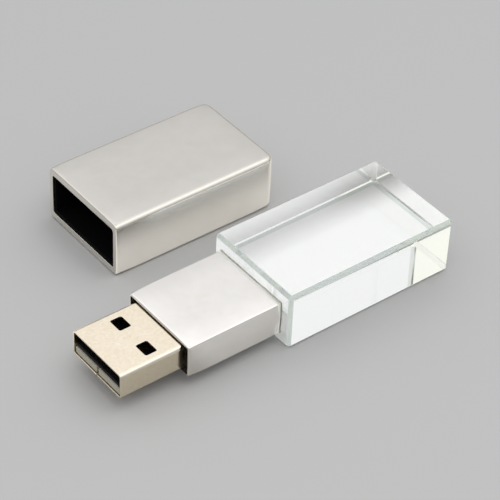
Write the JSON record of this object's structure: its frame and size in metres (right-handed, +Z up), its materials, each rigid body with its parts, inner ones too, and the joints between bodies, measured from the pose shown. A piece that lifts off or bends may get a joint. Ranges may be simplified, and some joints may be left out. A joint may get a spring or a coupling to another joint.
{
  "type": "usb flash drive",
  "caption": "Clear crystal flash drive with a metal collar and folded plug shell, and its open-ended metal cap lying alongside.",
  "frame": {"origin": "centre of the crystal block's underside", "axes": "+X from the plug towards the crystal, +Y towards the cap that lies beside the drive, +Z up"},
  "size_m": [0.0593, 0.0464, 0.01],
  "materials": {
    "crystal": "polished clear optical glass",
    "acrylic": "clear moulded plate",
    "satin_nickel": "satin nickel plate",
    "plug_nickel": "warm nickel plate on folded sheet",
    "black_plastic": "moulded black plastic",
    "beige_plastic": "moulded beige plastic",
    "gold_plate": "gold plate",
    "laminate": "green solder mask",
    "chip_resin": "moulded resin",
    "oscillator_can": "drawn metal can",
    "led_lens": "clear resin",
    "resistor": "glazed",
    "capacitor": "fired ceramic"
  },
  "bodies": {
    "drive": {"crystal_block": "crystal", "collar": "satin_nickel", "light_window": "acrylic", "plug_shell": "plug_nickel", "plug_tray": "beige_plastic", "plug_tongue": "black_plastic", "contact_power": "gold_plate", "contact_data_minus": "gold_plate", "contact_data_plus": "gold_plate", "contact_ground": "gold_plate", "carrier_lower": "black_plastic", "carrier_upper": "black_plastic", "circuit_board": "laminate", "controller_chip": "chip_resin", "memory_chip": "chip_resin", "regulator": "chip_resin", "oscillator": "oscillator_can", "indicator_led": "led_lens", "led_resistor": "resistor", "data_resistor_1": "resistor", "data_resistor_2": "resistor", "capacitor_1": "capacitor", "capacitor_2": "capacitor", "capacitor_3": "capacitor"},
    "cap": {"cap_shell": "satin_nickel", "cap_liner": "black_plastic", "cap_grip": "black_plastic"}
  },
  "joints": [
    {"name": "cap_turn", "type": "hinge", "parent": "drive", "child": "cap", "pos_m": [-0.03608, 0.0139, 0], "axis": [0, 0, 1], "range_deg": [0, 180]}
  ]
}
